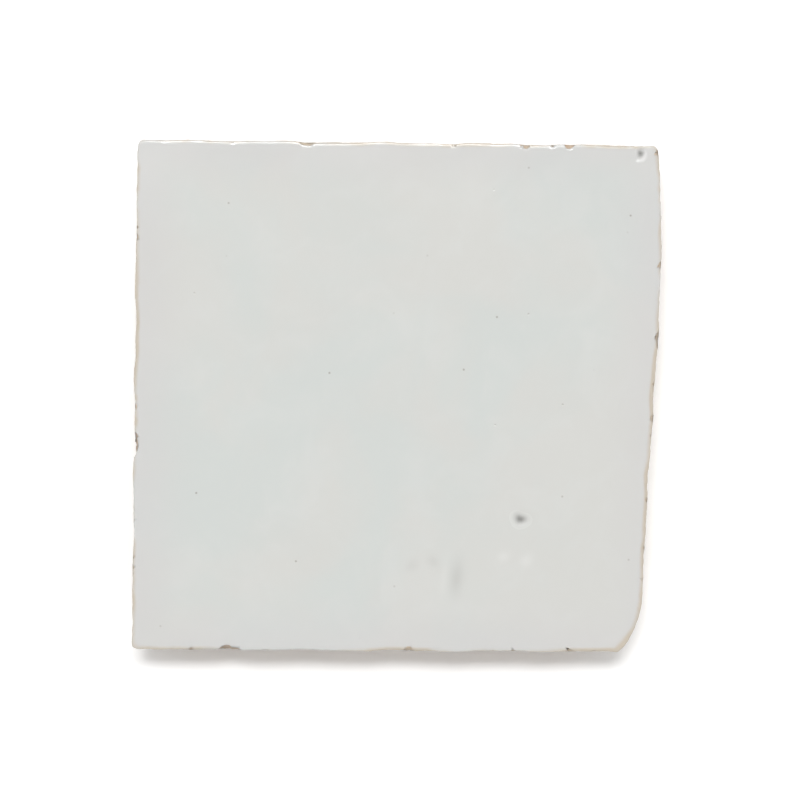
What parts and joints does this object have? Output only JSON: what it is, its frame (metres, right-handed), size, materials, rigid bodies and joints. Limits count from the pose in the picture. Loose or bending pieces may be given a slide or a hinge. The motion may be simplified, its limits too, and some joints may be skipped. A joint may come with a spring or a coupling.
{
  "type": "zellige tile",
  "caption": "Square hand-cut clay tile with a glossy, cloudy off-white glaze, slightly wavy edges, a broken corner, pits in the glaze and flanks chiselled back to a smaller flat back",
  "frame": {"origin": "On the flat back, at the middle of the tile's box in plan; the tile lies on its back.", "axes": "+Z out of the glazed face, along the thickness. +Y towards the edge that is uppermost as the tile is pictured. +X to the right seen from the face. The broken corner is at +X, -Y."},
  "size_m": [0.1036, 0.1002, 0.0121],
  "materials": {
    "white_tin_glaze": "polished"
  },
  "bodies": {
    "root": {"zellige_tile": "white_tin_glaze"}
  },
  "joints": []
}
